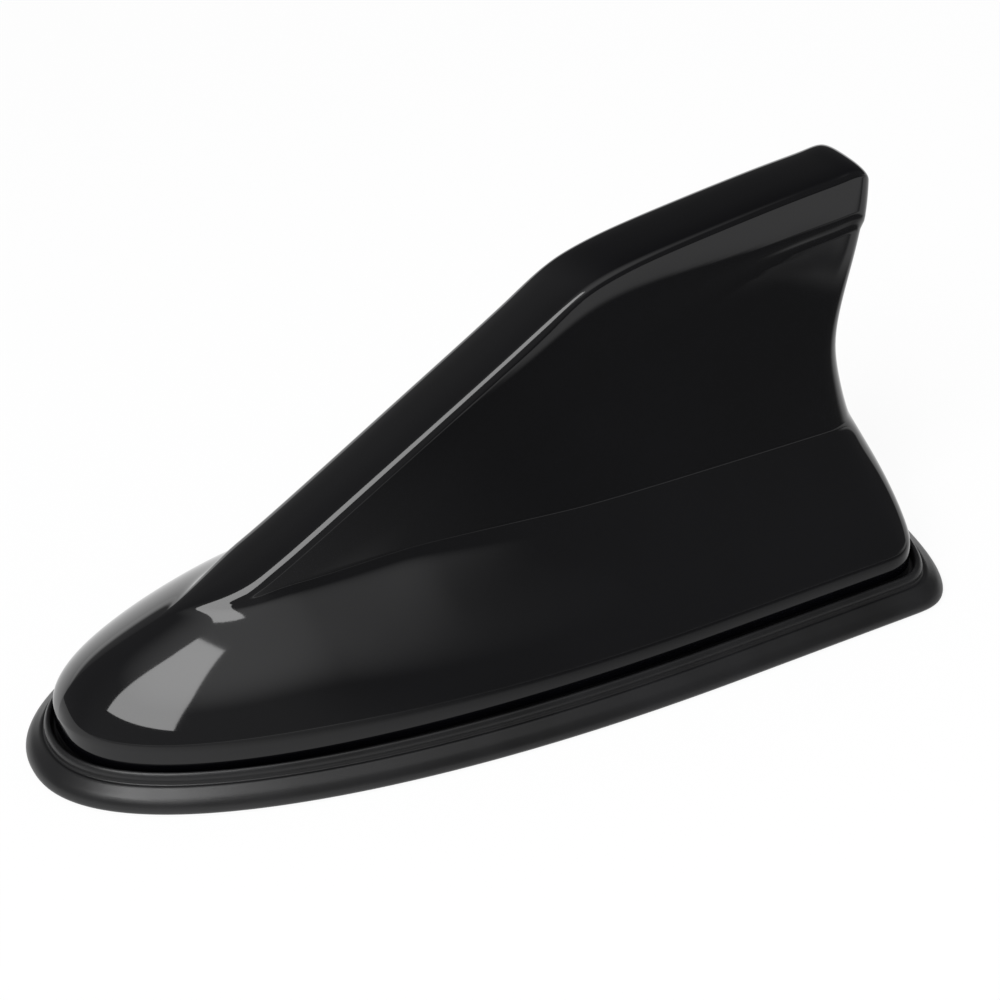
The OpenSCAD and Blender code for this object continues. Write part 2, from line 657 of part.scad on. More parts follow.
// Brass ferrules at the two ends of the coil
module former_ring(outer_d, low, high) {
    translate([coil_x, 0, low]) difference() {
        cylinder(d = outer_d, h = high - low);
        translate([0, 0, -1]) cylinder(d = former_d + 2 * fit, h = high - low + 2);
    }
}
module coil_foot() {
    color("#c2a15a") former_ring(former_d + 3, board_top + former_foot_h, coil_low);
}
module coil_cap() {
    color("#c2a15a") former_ring(former_d + 2, coil_high, coil_high + 2);
}

// Copper helix between the ferrules
module antenna_coil() {
    steps = turns * 12;
    r = former_d / 2 + fit + wire_d / 2;
    low = coil_low + wire_d * 0.6;
    high = coil_high - wire_d * 0.6;
    color("#b5622f") swept_wire([for (i = [0:steps])
        [coil_x + r * cos(30 * i), r * sin(30 * i), mix(low, high, i / steps)]], wire_d, 6);
}

// Folded sheet that loads the top of the coil, a channel open below
module top_plate() {
    color("#c4c7ca") translate([plate_x, 0, 0]) difference() {
        translate([0, -plate_w / 2, neck_top - plate_side]) cube([top_plate_l, plate_w, plate_side + sheet_t]);
        translate([-1, -plate_w / 2 + sheet_t, neck_top - plate_side - 1])
            cube([top_plate_l + 2, plate_w - 2 * sheet_t, plate_side + 1]);
        translate([coil_x - plate_x, 0, neck_top - 1]) cylinder(d = 1.5 + 2 * loose, h = 3);
    }
}
module top_plate_screw() {
    color("#8a8c8e") translate([coil_x, 0, neck_top + sheet_t]) pan_screw(1.5, 5.4, 3.2, 0.9, true);
}

fin_cover();
base_gasket();
base_plate();
adhesive_pad();
cover_screws();
mast_bush();
bush_seal();
bush_washer();
ring_terminal();
bush_nut();
feeder_wire();
circuit_board();
board_screws();
board_terminal();
shield_can();
amplifier_chip();
tuning_capacitors();
choke_core();
choke_winding();
coil_former();
antenna_coil();
coil_foot();
coil_cap();
top_plate();
top_plate_screw();
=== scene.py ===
"""Shark fin roof aerial in a small photo studio.

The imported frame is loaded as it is. The gloss cover and the rubber skirt are modelled again as
smooth pieces on the same surfaces, and every other part keeps its solid and gets its finish.
"""
import logging
import math
from collections.abc import Callable
from dataclasses import dataclass
from enum import Enum
from functools import cached_property
from typing import NamedTuple

import bmesh
import bpy
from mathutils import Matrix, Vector


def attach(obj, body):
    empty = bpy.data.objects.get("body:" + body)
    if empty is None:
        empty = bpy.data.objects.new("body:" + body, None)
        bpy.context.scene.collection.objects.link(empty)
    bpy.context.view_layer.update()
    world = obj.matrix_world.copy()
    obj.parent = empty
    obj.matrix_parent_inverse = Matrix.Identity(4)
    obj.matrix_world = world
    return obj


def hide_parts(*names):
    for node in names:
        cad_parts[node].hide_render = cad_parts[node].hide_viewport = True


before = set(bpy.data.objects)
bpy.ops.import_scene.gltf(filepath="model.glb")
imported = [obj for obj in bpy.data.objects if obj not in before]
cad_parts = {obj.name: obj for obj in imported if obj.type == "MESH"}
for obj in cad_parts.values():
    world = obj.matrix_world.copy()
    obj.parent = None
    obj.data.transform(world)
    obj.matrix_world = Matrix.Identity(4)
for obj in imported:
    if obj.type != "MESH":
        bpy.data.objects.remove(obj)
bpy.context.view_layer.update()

MM = 0.001
BODY = "root"
# The middle part of a noise pattern's range, which a change of roughness or colour is spread over.
ROUGHNESS_RANGE = (0.3, 0.7)
COLOUR_RANGE = (0.35, 0.65)
log = logging.getLogger("aerial")
Pair = tuple[float, float]
Point = tuple[float, float, float]
Line = tuple[float, ...]
Section = list[Pair]
Tree = bpy.types.NodeTree
Node = bpy.types.Node
Socket = bpy.types.NodeSocket


def linear(code: str) -> tuple[float, float, float, float]:
    """Turns an sRGB hex colour to the linear values that a shader takes.

    Args:
        code: colour as six hex digits, with or without a hash sign.

    Returns:
        Red, green, blue and an alpha of 1.
    """
    digits = code.lstrip("#")
    parts = [int(digits[k:k + 2], 16) / 255 for k in (0, 2, 4)]
    r, g, b = [c / 12.92 if c <= 0.04045 else ((c + 0.055) / 1.055) ** 2.4 for c in parts]
    return r, g, b, 1.0


def clamp(value: float, low: float, high: float) -> float:
    """Returns value kept between low and high."""
    return min(max(value, low), high)


def mix(a: float, b: float, share: float) -> float:
    """Returns the value that lies share of the way from a to b."""
    return a + (b - a) * share


def ease(value: float) -> float:
    """Returns value from 0 to 1 with a smooth start and end."""
    k = clamp(value, 0.0, 1.0)
    return k * k * (3 - 2 * k)


def soft_min(a: float, b: float, reach: float) -> float:
    """Returns the smaller of a and b, blended over a reach where they are close."""
    return min(a, b) - max(reach - abs(a - b), 0.0) ** 2 / (4 * reach)


def oval(run: float, power: float, end: float | None = None) -> float:
    """Finds the height of a quarter of a squared oval, which falls from 1 to 0.

    Args:
        run: way out from its middle, from 0 to 1.
        power: how square it is, where 2 is round.
        end: how square its end is, where that differs.

    Returns:
        The height there.
    """
    return max(1 - run ** power, 0.0) ** (1 / (end or power))


def curve(values: Line, t: float) -> float:
    """Runs an even cubic curve, with no change of curvature at a step, past evenly spaced values.

    Args:
        values: the values that steer the curve. It starts on the first and ends on the last.
        t: place along the curve, from 0 to 1.

    Returns:
        The curve's value there.
    """
    last = len(values) - 1
    steer = (2 * values[0] - values[1], *values, 2 * values[last] - values[last - 1])
    k = min(int(t * last), last - 1)
    f = t * last - k
    shares = ((1 - f) ** 3, 3 * f ** 3 - 6 * f ** 2 + 4, -3 * f ** 3 + 3 * f ** 2 + 3 * f + 1,
              f ** 3)
    return sum(share * value for share, value in zip(shares, steer[k:k + 4])) / 6


def last_place(low: float, high: float, halvings: int, holds: Callable[[float], bool]) -> float:
    """Finds how far from low towards high a test holds.

    Args:
        low: start, where the test holds.
        high: end, where it doesn't.
        halvings: how often the stretch between them is halved.
        holds: the test.

    Returns:
        The last value found at which the test holds.
    """
    for _ in range(halvings):
        middle = (low + high) / 2
        low, high = (middle, high) if holds(middle) else (low, middle)
    return low


def add_node(tree: Tree, kind: str, settings: dict | None = None,
             links: dict | None = None) -> Node:
    """Adds a node with its settings and its links.

    Args:
        tree: node tree that gets the node.
        kind: the node's type name.
        settings: values by the name or number of an input, or by the name of a property.
        links: output sockets by the name or number of the input that they feed.

    Returns:
        The new node.
    """
    node = tree.nodes.new(kind)
    for name, value in (settings or {}).items():
        if isinstance(name, int) or name in node.inputs:
            node.inputs[name].default_value = value
        else:
            setattr(node, name, value)
    for name, socket in (links or {}).items():
        tree.links.new(socket, node.inputs[name])
    return node


def empty_tree(owner: bpy.types.Material | bpy.types.World) -> Tree:
    """Returns the node tree of a new material or world, with nothing in it."""
    owner.use_nodes = True
    owner.node_tree.nodes.clear()
    return owner.node_tree


def add_object(name: str, bm: bmesh.types.BMesh, material: bpy.types.Material) -> bpy.types.Object:
    """Turns a mesh in progress into an object of the scene.

    Args:
        name: the object's name.
        bm: the mesh, in metres, at its place. It is freed.
        material: its material.

    Returns:
        The object.
    """
    mesh = bpy.data.meshes.new(name)
    bm.to_mesh(mesh)
    bm.free()
    mesh.materials.append(material)
    made = bpy.data.objects.new(name, mesh)
    bpy.context.scene.collection.objects.link(made)
    return made


class Surface(NamedTuple):
    """A material in the making: its tree, its shader and the object coordinates in metres."""

    tree: Tree
    shader: Node
    place: Socket


@dataclass(frozen=True)
class Finish:
    """A surface finish: what it is made of, its colours, its pattern and how it takes the light.

    The pattern mixes the other colour in, moves the roughness by spread to either side, and
    stands up by depth_mm. Grain_mm is the size of its finest mark.
    """

    name: str
    colour: str
    roughness: float
    other: str = ""
    spread: float = 0.06
    grain_mm: float = 0.4
    depth_mm: float = 0.01
    metallic: float = 0.0
    ior: float = 1.5

    def build(self) -> bpy.types.Material:
        """Makes the material.

        Returns:
            A new material with the finish's shader and pattern.
        """
        material = bpy.data.materials.new(self.name)
        tree = empty_tree(material)
        shader = add_node(tree, "ShaderNodeBsdfPrincipled", {
            "Base Color": linear(self.colour), "Roughness": self.roughness,
            "Metallic": self.metallic, "IOR": self.ior})
        add_node(tree, "ShaderNodeOutputMaterial", links={"Surface": shader.outputs[0]})
        place = add_node(tree, "ShaderNodeTexCoord").outputs["Object"]
        self.pattern(Surface(tree, shader, place))
        return material

    def pattern(self, surface: Surface) -> None:
        """Adds the surface's own pattern, a plain fine grain.

        Args:
            surface: the material in the making.
        """
        grain = add_node(surface.tree, "ShaderNodeTexNoise", {
            "Scale": 1 / (self.grain_mm * MM), "Detail": 3.0}, {"Vector": surface.place})
        self.vary_roughness(surface, grain.outputs[0])
        self.raise_grain(surface, grain.outputs[0])

    def vary_roughness(self, surface: Surface, value: Socket) -> None:
        """Lets a pattern move the roughness to either side.

        Args:
            surface: the material in the making.
            value: the pattern, about 0.5 on average.
        """
        low, high = ROUGHNESS_RANGE
        varied = add_node(surface.tree, "ShaderNodeMapRange", {
            "From Min": low, "From Max": high, "To Min": max(self.roughness - self.spread, 0.01),
            "To Max": self.roughness + self.spread}, {"Value": value})
        surface.tree.links.new(varied.outputs[0], surface.shader.inputs["Roughness"])

    def raise_grain(self, surface: Surface, height: Socket) -> None:
        """Raises a pattern by the finish's depth.

        Args:
            surface: the material in the making.
            height: the pattern, from 0 to 1.
        """
        bump = add_node(surface.tree, "ShaderNodeBump", {
            "Strength": 1.0, "Distance": self.depth_mm * MM}, {"Height": height})
        surface.tree.links.new(bump.outputs[0], surface.shader.inputs["Normal"])

    def vary_colour(self, surface: Surface, value: Socket) -> None:
        """Mixes the other colour in by a noise pattern.

        Args:
            surface: the material in the making.
            value: the pattern, about 0.5 on average.
        """
        low, high = COLOUR_RANGE
        share = add_node(surface.tree, "ShaderNodeMapRange", {"From Min": low, "From Max": high},
                         {"Value": value})
        self.mix_colours(surface, share.outputs[0])

    def mix_colours(self, surface: Surface, share: Socket) -> None:
        """Mixes the other colour in.

        Args:
            surface: the material in the making.
            share: how much of the other colour there is, from 0 to 1.
        """
        blend = add_node(surface.tree, "ShaderNodeMix", {
            "data_type": "RGBA", 6: linear(self.colour), 7: linear(self.other)}, {0: share})
        surface.tree.links.new(blend.outputs[2], surface.shader.inputs["Base Color"])


@dataclass(frozen=True)
class Moulding(Finish):
    """A moulded skin: the grain that its mould left, under a faint cloud of colour and gloss."""

    grain_kind: str = "ShaderNodeTexNoise"
    grain_detail: float = 2.0
    cloud_mm: float = 20.0
    cloud_detail: float = 3.0

    def pattern(self, surface: Surface) -> None:
        """Adds the grain, drawn as coarse as it needs to show, and the cloud.

        Args:
            surface: the material in the making.
        """
        grain = add_node(surface.tree, self.grain_kind, {
            "Scale": 1 / (self.grain_mm * MM), "Detail": self.grain_detail},
                         {"Vector": surface.place})
        cloud = add_node(surface.tree, "ShaderNodeTexNoise", {
            "Scale": 1 / (self.cloud_mm * MM), "Detail": self.cloud_detail},
                         {"Vector": surface.place})
        self.vary_colour(surface, cloud.outputs[0])
        self.vary_roughness(surface, cloud.outputs[0])
        self.raise_grain(surface, grain.outputs[0])


@dataclass(frozen=True)
class PolishedMoulding(Moulding):
    """ABS from a mirror-polished mould: deep black, with the faint ripple of the cooled skin."""

    other: str = "#07070a"
    spread: float = 0.012
    depth_mm: float = 0.012
    grain_mm: float = 9.0
    grain_detail: float = 1.0
    cloud_mm: float = 36.0
    cloud_detail: float = 4.0


@dataclass(frozen=True)
class MouldedRubber(Moulding):
    """Rubber from a blasted mould: near black, with a soft sheen, fine grain and pale bloom."""

    other: str = "#161618"
    spread: float = 0.05
    depth_mm: float = 0.012
    cloud_mm: float = 14.0
    cloud_detail: float = 5.0


@dataclass(frozen=True)
class SparkedMoulding(Moulding):
    """Plastic from a spark-eroded mould: matt, with an even fine texture of pits."""

    other: str = "#1b1b1c"
    spread: float = 0.05
    depth_mm: float = 0.03
    grain_kind: str = "ShaderNodeTexVoronoi"
    grain_detail: float = 0.0


@dataclass(frozen=True)
class CellFoam(Finish):
    """Closed-cell foam tape: dull dark grey, with small open cells on its cut faces, shade painted
    in their hearts.
    """

    # Paler colour away from the cells' hearts, which keep the darker colour as painted shade.
    other: str = "#3b3b3e"
    depth_mm: float = 0.12

    def pattern(self, surface: Surface) -> None:
        """Adds the cells as pits, with painted shade that darkens their hearts.

        Args:
            surface: the material in the making.
        """
        cells = add_node(surface.tree, "ShaderNodeTexVoronoi", {"Scale": 1 / (self.grain_mm * MM)},
                         {"Vector": surface.place})
        # Painted shade: the colour darkens towards each cell's heart, where the bump sinks the pit.
        self.vary_colour(surface, cells.outputs[0])
        self.raise_grain(surface, cells.outputs[0])


@dataclass(frozen=True)
class DrawnMetal(Finish):
    """Rolled or plated metal: a fine line along one direction, and a slight mottle."""

    other: str = "#9a9ca0"
    spread: float = 0.08
    depth_mm: float = 0.006
    metallic: float = 1.0
    mottle_mm: float = 2.5
    line_squeeze: float = 0.06

    def pattern(self, surface: Surface) -> None:
        """Adds the rolling lines along X and the mottle of the plating.

        Args:
            surface: the material in the making.
        """
        along = add_node(surface.tree, "ShaderNodeMapping", {
            "Scale": (self.line_squeeze, 1.0, 1.0)}, {"Vector": surface.place})
        lines = add_node(surface.tree, "ShaderNodeTexNoise", {
            "Scale": 1 / (self.grain_mm * MM), "Detail": 2.0}, {"Vector": along.outputs[0]})
        mottle = add_node(surface.tree, "ShaderNodeTexNoise", {
            "Scale": 1 / (self.mottle_mm * MM), "Detail": 4.0}, {"Vector": surface.place})
        self.vary_colour(surface, mottle.outputs[0])
        self.vary_roughness(surface, lines.outputs[0])
        self.raise_grain(surface, lines.outputs[0])


@dataclass(frozen=True)
class TurnedMetal(Finish):
    """Metal turned on a lathe: fine rings round the axis, or a thread where it has a pitch."""

    spread: float = 0.07
    metallic: float = 1.0
    mottle_mm: float = 3.0
    axis_x_mm: float = -23.0
    feed_mm: float = 0.12
    pitch_mm: float = 0.0

    def pattern(self, surface: Surface) -> None:
        """Adds tool rings at the feed of the lathe, or thread ridges at the thread's pitch.

        Args:
            surface: the material in the making.
        """
        centred = add_node(surface.tree, "ShaderNodeMapping", {
            "Location": (-self.axis_x_mm * MM, 0.0, 0.0)}, {"Vector": surface.place})
        rings = add_node(surface.tree, "ShaderNodeTexWave", {
            "wave_type": "BANDS", "bands_direction": "Z",
            "wave_profile": "TRI" if self.pitch_mm else "SIN",
            "Scale": math.pi / 10 / ((self.pitch_mm or self.feed_mm) * MM),
            "Distortion": 0.0}, {"Vector": centred.outputs[0]})
        mottle = add_node(surface.tree, "ShaderNodeTexNoise", {
            "Scale": 1 / (self.mottle_mm * MM), "Detail": 3.0}, {"Vector": surface.place})
        self.vary_roughness(surface, mottle.outputs[0])
        self.raise_grain(surface, rings.outputs[1])


@dataclass(frozen=True)
class BoardLacquer(Finish):
    """Solder mask over glass cloth and copper: green, with paler tracks on a grid."""

    other: str = "#2f6b3c"
    depth_mm: float = 0.035
    track_mm: float = 0.16
    grid_mm: Pair = (5.08, 1.27)

    def pattern(self, surface: Surface) -> None:
        """Adds straight tracks on a grid of parts of an inch, raised by the copper's thickness.

        Args:
            surface: the material in the making.
        """
        black, white = (0, 0, 0, 1), (1, 1, 1, 1)
        tracks = add_node(surface.tree, "ShaderNodeTexBrick", {
            "Scale": 1.0, "Brick Width": self.grid_mm[0] * MM, "Row Height": self.grid_mm[1] * MM,
            "Mortar Size": self.track_mm * MM, "Color1": black, "Color2": black,
            "Mortar": white}, {"Vector": surface.place})
        self.mix_colours(surface, tracks.outputs[0])
        self.raise_grain(surface, tracks.outputs[0])


class Stuff(Enum):
    """The finishes of the aerial, each by what it is and how it was made."""

    # Deep mirror gloss, in which the studio shows.
    COVER = PolishedMoulding("ABS, mirror-polished mould", "#040406", 0.05, ior=1.45)
    # Black rubbers, satin on the skirt and duller on the seal.
    SKIRT = MouldedRubber("EPDM rubber, moulded", "#0e0e0f", 0.36, grain_mm=0.35)
    SEAL = MouldedRubber("Nitrile rubber, moulded", "#141415", 0.5, grain_mm=0.3)
    # Matt black plastic beside dull dark foam.
    PLATE = SparkedMoulding("ABS, spark-eroded mould", "#141415", 0.55, grain_mm=0.3)
    FOAM = CellFoam("Acrylic foam tape, die-cut", "#29292c", 0.9, grain_mm=0.6)
    # Bright greys, from the duller zinc to the whiter tin and aluminium.
    ZINC = DrawnMetal("Steel, zinc plated", "#b4b6b9", 0.32, grain_mm=0.25)
    TIN = DrawnMetal("Sheet steel, tinned", "#c3c6c9", 0.26, grain_mm=0.2, other="#aeb2b6")
    ALUMINIUM = DrawnMetal("Aluminium can, drawn", "#c9cbcd", 0.3, grain_mm=0.2, other="#b6b9bc")
    # Warm metals: the brown of lacquered copper, and yellow brass with bright tool marks.
    COPPER = DrawnMetal("Copper wire, enamelled", "#b5622f", 0.22, grain_mm=0.3, other="#9c4a22")
    BRASS = TurnedMetal("Brass, turned", "#c9a15a", 0.25)
    THREADED = TurnedMetal("Brass, turned and threaded M5", "#c9a15a", 0.25, depth_mm=0.25,
                           pitch_mm=0.8)
    # The electric parts' plain colours: satin red, glossy green, and blue, black, grey and ivory.
    WIRE = Finish("PVC insulation, extruded", "#7a1a17", 0.38, grain_mm=1.2)
    BOARD = BoardLacquer("Glass-epoxy board, solder mask", "#1c4a29", 0.3)
    TERMINAL = SparkedMoulding("Nylon, moulded", "#1f4f7a", 0.42, grain_mm=0.25, other="#1a4468")
    CHIP = SparkedMoulding("Epoxy, transfer moulded", "#121213", 0.6, grain_mm=0.12,
                           other="#1a1a1b")
    FERRITE = SparkedMoulding("Ferrite, pressed and fired", "#38383a", 0.5, grain_mm=0.3,
                              other="#2c2c2e")
    FORMER = SparkedMoulding("Nylon, natural, moulded", "#c9c2ad", 0.4, grain_mm=0.5,
                             other="#bfb79f")

    def material(self) -> bpy.types.Material:
        """Returns the material of this finish, made at its first use."""
        return bpy.data.materials.get(self.value.name) or self.value.build()


@dataclass(frozen=True)
class CoverForm:
    """Surface of the moulded cover in millimetres: plan, spine, tail, low body and upright fin.

    A skin is a surface at an inset from the outer one. A pair named span gives the distance
    behind the nose where a soft change begins, and the length that it takes. The other pairs of
    the low body, the fin and the blend give the values before and after such a change.
    """

    length: float = 156.0
    width: float = 63.0
    tip_z: float = 75.8
    wall: float = 2.2
    belt_z: float = 10.0
    rim_z: float = 4.4
    rim_flare: float = 0.5
    foot_drop: float = 0.41

    # Plan: the oval nose, and the rear corners, which get tighter upwards.
    wide_from_nose: float = 111.3
    nose_power: float = 2.2
    corner_power: float = 3.5
    end_power: float = 2.2
    corner_low: float = 12.0
    corner_high: float = 4.0
    nose_turn: float = 0.6
    side_turn: float = 0.7

    # Spine: the points that steer it, behind the nose and over the belt, along the ramp, along
    # the head and under the tip, and in front of the tail and under the tip.
    nose_steps: tuple[Pair, ...] = ((0.0, 0.0), (0.6, 3.6), (5.6, 8.6), (16.5, 12.728))
    ramp_foot: Pair = (31.0, 27.2)
    ramp_top: Pair = (89.5, 63.4)
    ramp_steps: Line = (0.0, 0.27, 0.6, 0.92)
    head_steps: tuple[Pair, ...] = ((0.055, 9.4), (0.2, 6.3), (0.41, 4.2), (0.72, 1.5))
    crown_steps: tuple[Pair, ...] = ((9.6, 0.9), (5.7, -0.1), (2.4, 4.5))
    crown_end: float = 5.6
    slope_step: float = 0.002

    # Tail: how far its edge lies in, in shares of the neck, from the belt to the tip.
    neck_in: float = 7.8
    tail_depths: Line = (0.0, 0.02, 0.57, 0.88, 1.1, 0.88, 0.54, 0.31, 0.33)

    # Low body.
    crest_z: float = 28.0
    crest_drop: float = 1.3
    crest_reach: float = 5.0
    body_span: Pair = (18.0, 75.0)
    body_top: Pair = (1.45, 1.25)
    body_side: Pair = (1.35, 1.12)

    # Fin, with its rounded edge and the rail of its head.
    band_r: float = 6.0
    fin_flare: float = 0.16
    fin_power: float = 2.6
    fin_span: Pair = (12.0, 24.0)
    fin_rise: float = 15.0
    edge_depth: Pair = (2.8, 1.5)
    edge_span: Pair = (85.5, 12.0)
    rail_h: float = 9.5
    rail_step: float = 0.8
    rail_above: float = 0.4
    rail_fade: Pair = (14.0, 2.5)
    rail_span: Pair = (94.5, 45.0)

    # Blend of the fin and the low body.
    blend_power: Pair = (6.0, 2.6)
    blend_span: Pair = (25.0, 40.0)

    @property
    def nose_x(self) -> float:
        """Returns the place of the nose."""
        return -self.length / 2

    @property
    def tail_x(self) -> float:
        """Returns the place of the tail's foot."""
        return self.length / 2

    @property
    def half_w(self) -> float:
        """Returns half the width at the top of the belt."""
        return self.width / 2 - self.rim_flare

    @cached_property
    def spine(self) -> tuple[Line, Line]:
        """Works out the points that steer the spine, from the nose over the tip.

        Returns:
            Their places along X, and their heights.
        """
        foot_x, top_x = self.nose_x + self.ramp_foot[0], self.nose_x + self.ramp_top[0]
        points = [(self.nose_x + x, self.belt_z + z) for x, z in self.nose_steps]
        points += [(mix(foot_x, top_x, k), mix(self.ramp_foot[1], self.ramp_top[1], k))
                   for k in self.ramp_steps]
        points += [(mix(top_x, self.tail_x, k), self.tip_z - deep) for k, deep in self.head_steps]
        points += [(self.tail_x - x, self.tip_z - deep) for x, deep in self.crown_steps]
        end = self.tip_z - self.crown_end
        points.append((self.tail_at(end, 0.0), end))
        places, heights = zip(*points)
        return places, heights

    def passed(self, x: float, span: Pair) -> float:
        """Returns how much of a soft change along the cover has passed at x, from 0 to 1."""
        return ease((x - self.nose_x - span[0]) / span[1])

    def height_share(self, z: float) -> float:
        """Returns how far z lies from the belt to the tip, from 0 to 1."""
        return clamp((z - self.belt_z) / (self.tip_z - self.belt_z), 0.0, 1.0)

    def share_at(self, x: float, z: float, inset: float) -> float:
        """Returns how far x lies from nose to tail of a skin at height z, where the tail is 1."""
        start = self.nose_x + inset
        return (x - start) / (self.tail_at(z, inset) - start)

    def tail_at(self, z: float, inset: float) -> float:
        """Returns the place of the tail at height z, moved in by inset."""
        return self.tail_x - curve(self.tail_depths, self.height_share(z)) * self.neck_in - inset

    def spine_at(self, t: float, inset: float) -> Pair:
        """Finds a point of the spine of a skin.

        Args:
            t: place along the spine, from 0 at the nose to 1 at the tail.
            inset: how far the skin lies inside the outer one.

        Returns:
            The point's place along X and its height.
        """
        before, after = max(t - self.slope_step, 0.0), min(t + self.slope_step, 1.0)
        run, rise = (curve(line, after) - curve(line, before) for line in self.spine)
        x, z = (curve(line, t) for line in self.spine)
        size = math.hypot(run, rise)
        x, z = x + inset * rise / size, z - inset * run / size
        return clamp(x, self.nose_x + inset, self.tail_at(z, inset)), max(z, self.foot(inset))

    def foot(self, inset: float) -> float:
        """Returns the height at which a skin turns from the belt into the body."""
        return self.belt_z - self.foot_drop * inset

    def crest_at(self, top: float, inset: float) -> float:
        """Returns the height where the low body ends, below a spine at top."""
        return soft_min(top, self.crest_z - self.crest_drop * inset, self.crest_reach)

    def plan_y(self, x: float, inset: float) -> float:
        """Returns half the width of the plan at x, without its rear corners."""
        wide = self.nose_x + self.wide_from_nose
        run = clamp((wide - x) / (wide - self.nose_x - inset), 0.0, 1.0)
        return (self.half_w - inset) * oval(run, self.nose_power)

    def corner(self, distance: float, reach: float) -> float:
        """Returns the share of the width that is left at a distance in front of the tail."""
        if distance >= reach:
            return 1.0
        return oval(1 - max(distance, 0.0) / reach, self.corner_power, self.end_power)

    def body_y(self, x: float, z: float, top: float, inset: float) -> float:
        """Finds half the width of the low body.

        Args:
            x: place along the cover.
            z: height.
            top: height of the spine there.
            inset: how far the skin lies inside the outer one.

        Returns:
            The distance from the middle plane.
        """
        foot, crest = self.foot(inset), self.crest_at(top, inset)
        rise = clamp((z - foot) / max(crest - foot, 0.01), 0.0, 1.0)
        back = self.passed(x, self.body_span)
        power, end = mix(*self.body_top, back), mix(*self.body_side, back)
        return self.plan_y(x, inset) * oval(rise, power, end)

    def fin_y(self, x: float, z: float, top: float, inset: float) -> float:
        """Finds half the thickness of the fin, with its rounded edge and the rail of its head.

        Args:
            x: place along the cover.
            z: height.
            top: height of the spine there.
            inset: how far the skin lies inside the outer one.

        Returns:
            The distance from the middle plane.
        """
        deep = max(top - z, 0.0)
        edge = 1 - min(deep / mix(*self.edge_depth, self.passed(x, self.edge_span)), 1.0)
        fade = mix(*self.rail_fade, self.passed(x, self.rail_span))
        under = ease((deep - self.rail_h + self.rail_above * fade) / fade)
        side = self.band_r - inset + self.fin_flare * deep - self.rail_step * under
        grown = self.passed(x, self.fin_span) * ease((z - self.foot(inset)) / self.fin_rise)
        return max(side * oval(edge, self.fin_power) * grown, 0.0)

    def half_y(self, share: float, z: float, top: float, inset: float) -> float:
        """Finds half the width of a skin.

        Args:
            share: place between nose and tail, from 0 to 1.
            z: height.
            top: height of the spine there.
            inset: how far the skin lies inside the outer one.

        Returns:
            The distance from the middle plane.
        """
        tail = self.tail_at(z, inset)
        x = mix(self.nose_x + inset, tail, share)
        power = mix(*self.blend_power, self.passed(x, self.blend_span))
        parts = self.body_y(x, z, top, inset), self.fin_y(x, z, top, inset)
        both = sum(part ** power for part in parts) ** (1 / power)
        reach = mix(self.corner_low, self.corner_high, self.height_share(z)) - inset / 2
        return both * self.corner(tail - x, reach)

    def ceiling(self, x: float, y: float) -> float:
        """Finds the height of the cavity's ceiling over a place in the plan.

        Args:
            x: place along the cover.
            y: place across it.

        Returns:
            The height of the inner skin there.
        """
        def inside(z: float) -> bool:
            """Returns whether the place at height z lies in the cavity."""
            share = self.share_at(x, z, self.wall)
            top = self.top_over(share)
            return 0 < share < 1 and z < top and self.half_y(share, z, top, self.wall) > abs(y)

        return last_place(self.belt_z - 1, self.tip_z, 14, inside)

    def top_over(self, share: float) -> float:
        """Returns the height of the inner spine at a share of the way from nose to tail."""
        t = last_place(0.0, 1.0, 12, lambda k: self.share_at(*self.spine_at(k, self.wall),
                                                             self.wall) < share)
        return self.spine_at(t, self.wall)[1]

    def rim_point(self, turn: float, out: float) -> Pair:
        """Finds a point of the plan round the cover's rim.

        Args:
            turn: place round the plan, from 0 at the nose, over 0.5 at the tail, to 1.
            out: distance outwards from the face of the cover.

        Returns:
            The point in the plan.
        """
        side = 1.0 if turn <= 0.5 else -1.0
        half = min(turn, 1 - turn) * 2
        wide = self.nose_x + self.wide_from_nose
        w, front, reach = self.width / 2 + out, wide - self.nose_x + out, self.corner_low + out / 2
        if half < self.nose_turn:
            a = half / self.nose_turn * math.pi / 2
            return (wide - front * math.cos(a) ** (2 / self.nose_power),
                    side * w * math.sin(a) ** (2 / self.nose_power))
        start = self.tail_x + out - reach
        if half < self.side_turn:
            run = (half - self.nose_turn) / (self.side_turn - self.nose_turn)
            return mix(wide, start, run), side * w
        a = min((half - self.side_turn) / (1 - self.side_turn), 1.0) * math.pi / 2
        return (start + reach * math.sin(a) ** (2 / self.corner_power),
                side * w * max(math.cos(a), 0.0) ** (2 / self.end_power))


def finish_mesh(name: str, bm: bmesh.types.BMesh, stuff: Stuff,
                nodes: tuple[str, ...]) -> bpy.types.Object:
    """Turns a mesh in progress into a smooth piece that stands for solids of the frame.

    Args:
        name: the piece's name.
        bm: the mesh, in metres, at its place. It is freed.
        stuff: its finish.
        nodes: the solids that it stands for.

    Returns:
        The piece.
    """
    piece = add_object(name, bm, stuff.material())
    piece.data.shade_smooth()
    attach(piece, BODY)
    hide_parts(*nodes)
    log.info("%s: %d faces", name, len(piece.data.polygons))
    return piece


